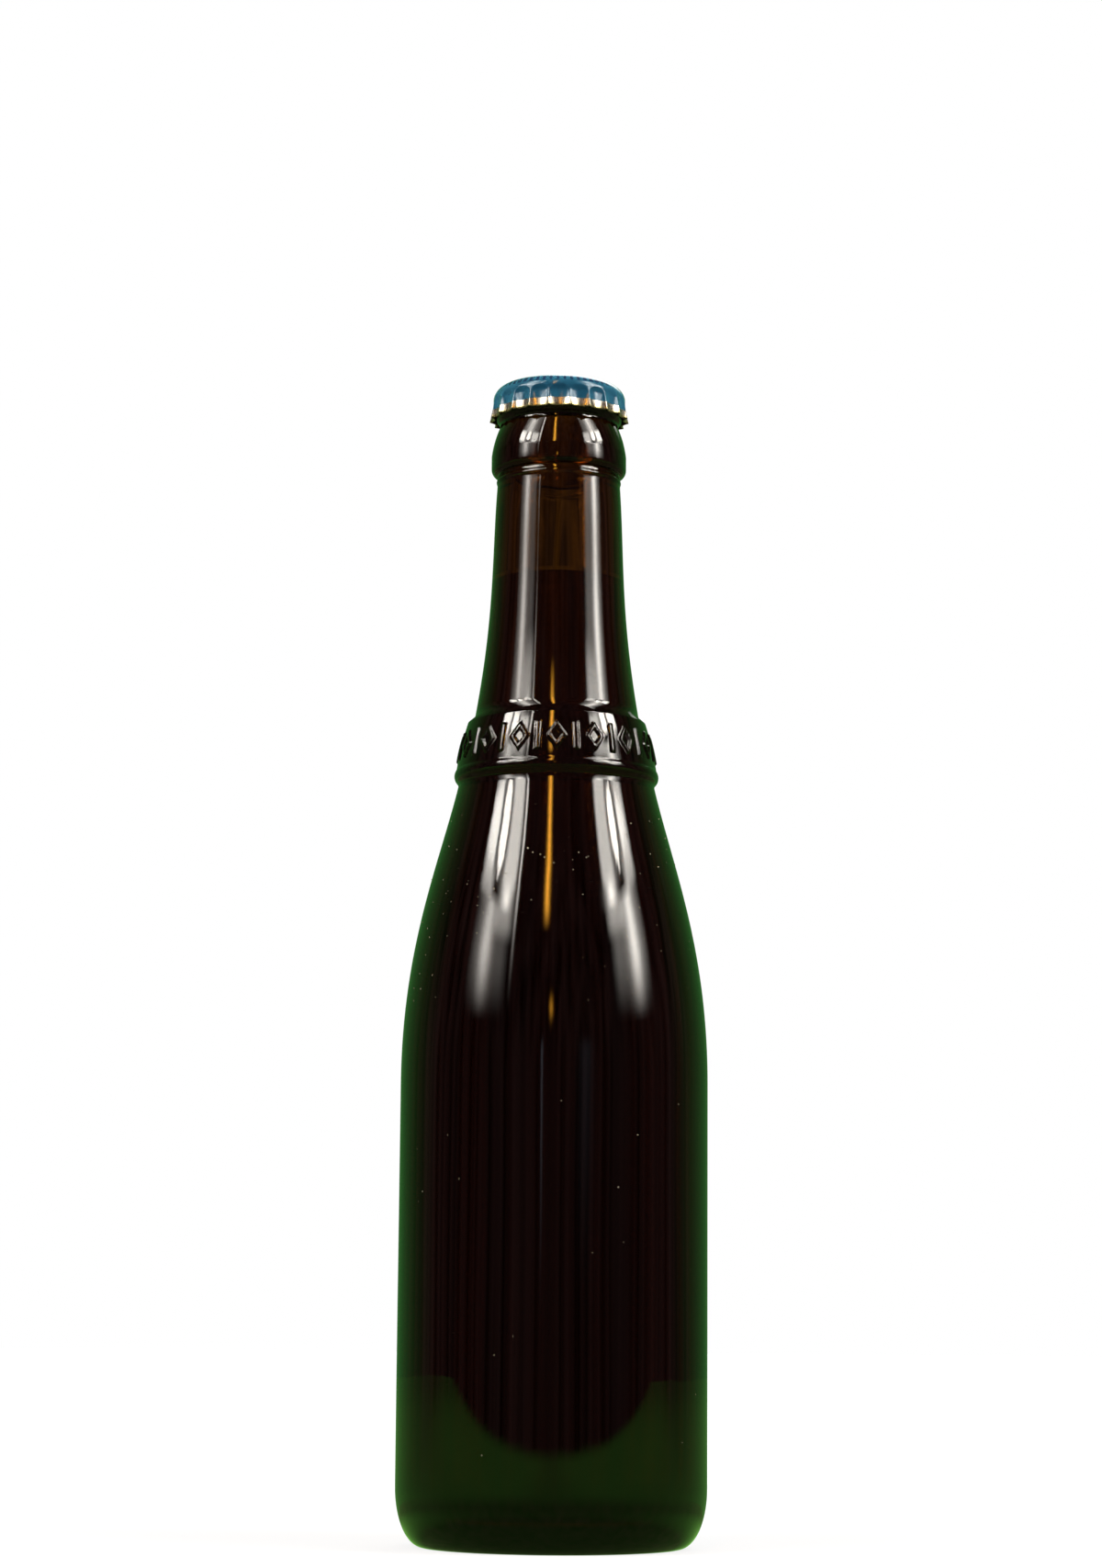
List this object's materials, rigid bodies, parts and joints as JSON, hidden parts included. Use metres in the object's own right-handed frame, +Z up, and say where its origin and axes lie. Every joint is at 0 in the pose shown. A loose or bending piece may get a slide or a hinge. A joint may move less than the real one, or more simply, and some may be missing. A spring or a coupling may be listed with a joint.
{
  "type": "beer bottle",
  "caption": "Tall brown glass beer bottle with a raised belt of lozenges and bars above the shoulder, filled with dark beer and closed with a blue crown cap.",
  "frame": {"origin": "centre of the ring the bottle stands on, at the height of the surface under it", "axes": "+Z up the bottle's axis, towards the cap"},
  "size_m": [0.061, 0.061, 0.2327],
  "materials": {
    "brown_glass": "smooth, glossy brown glass",
    "dark_beer": "clear dark brown drink",
    "blue_lacquer": "glossy blue lacquer on tinplate, bare along the lower edge"
  },
  "bodies": {
    "root": {"bottle": "brown_glass", "beer": "dark_beer", "crown_cap": "blue_lacquer"}
  },
  "joints": []
}
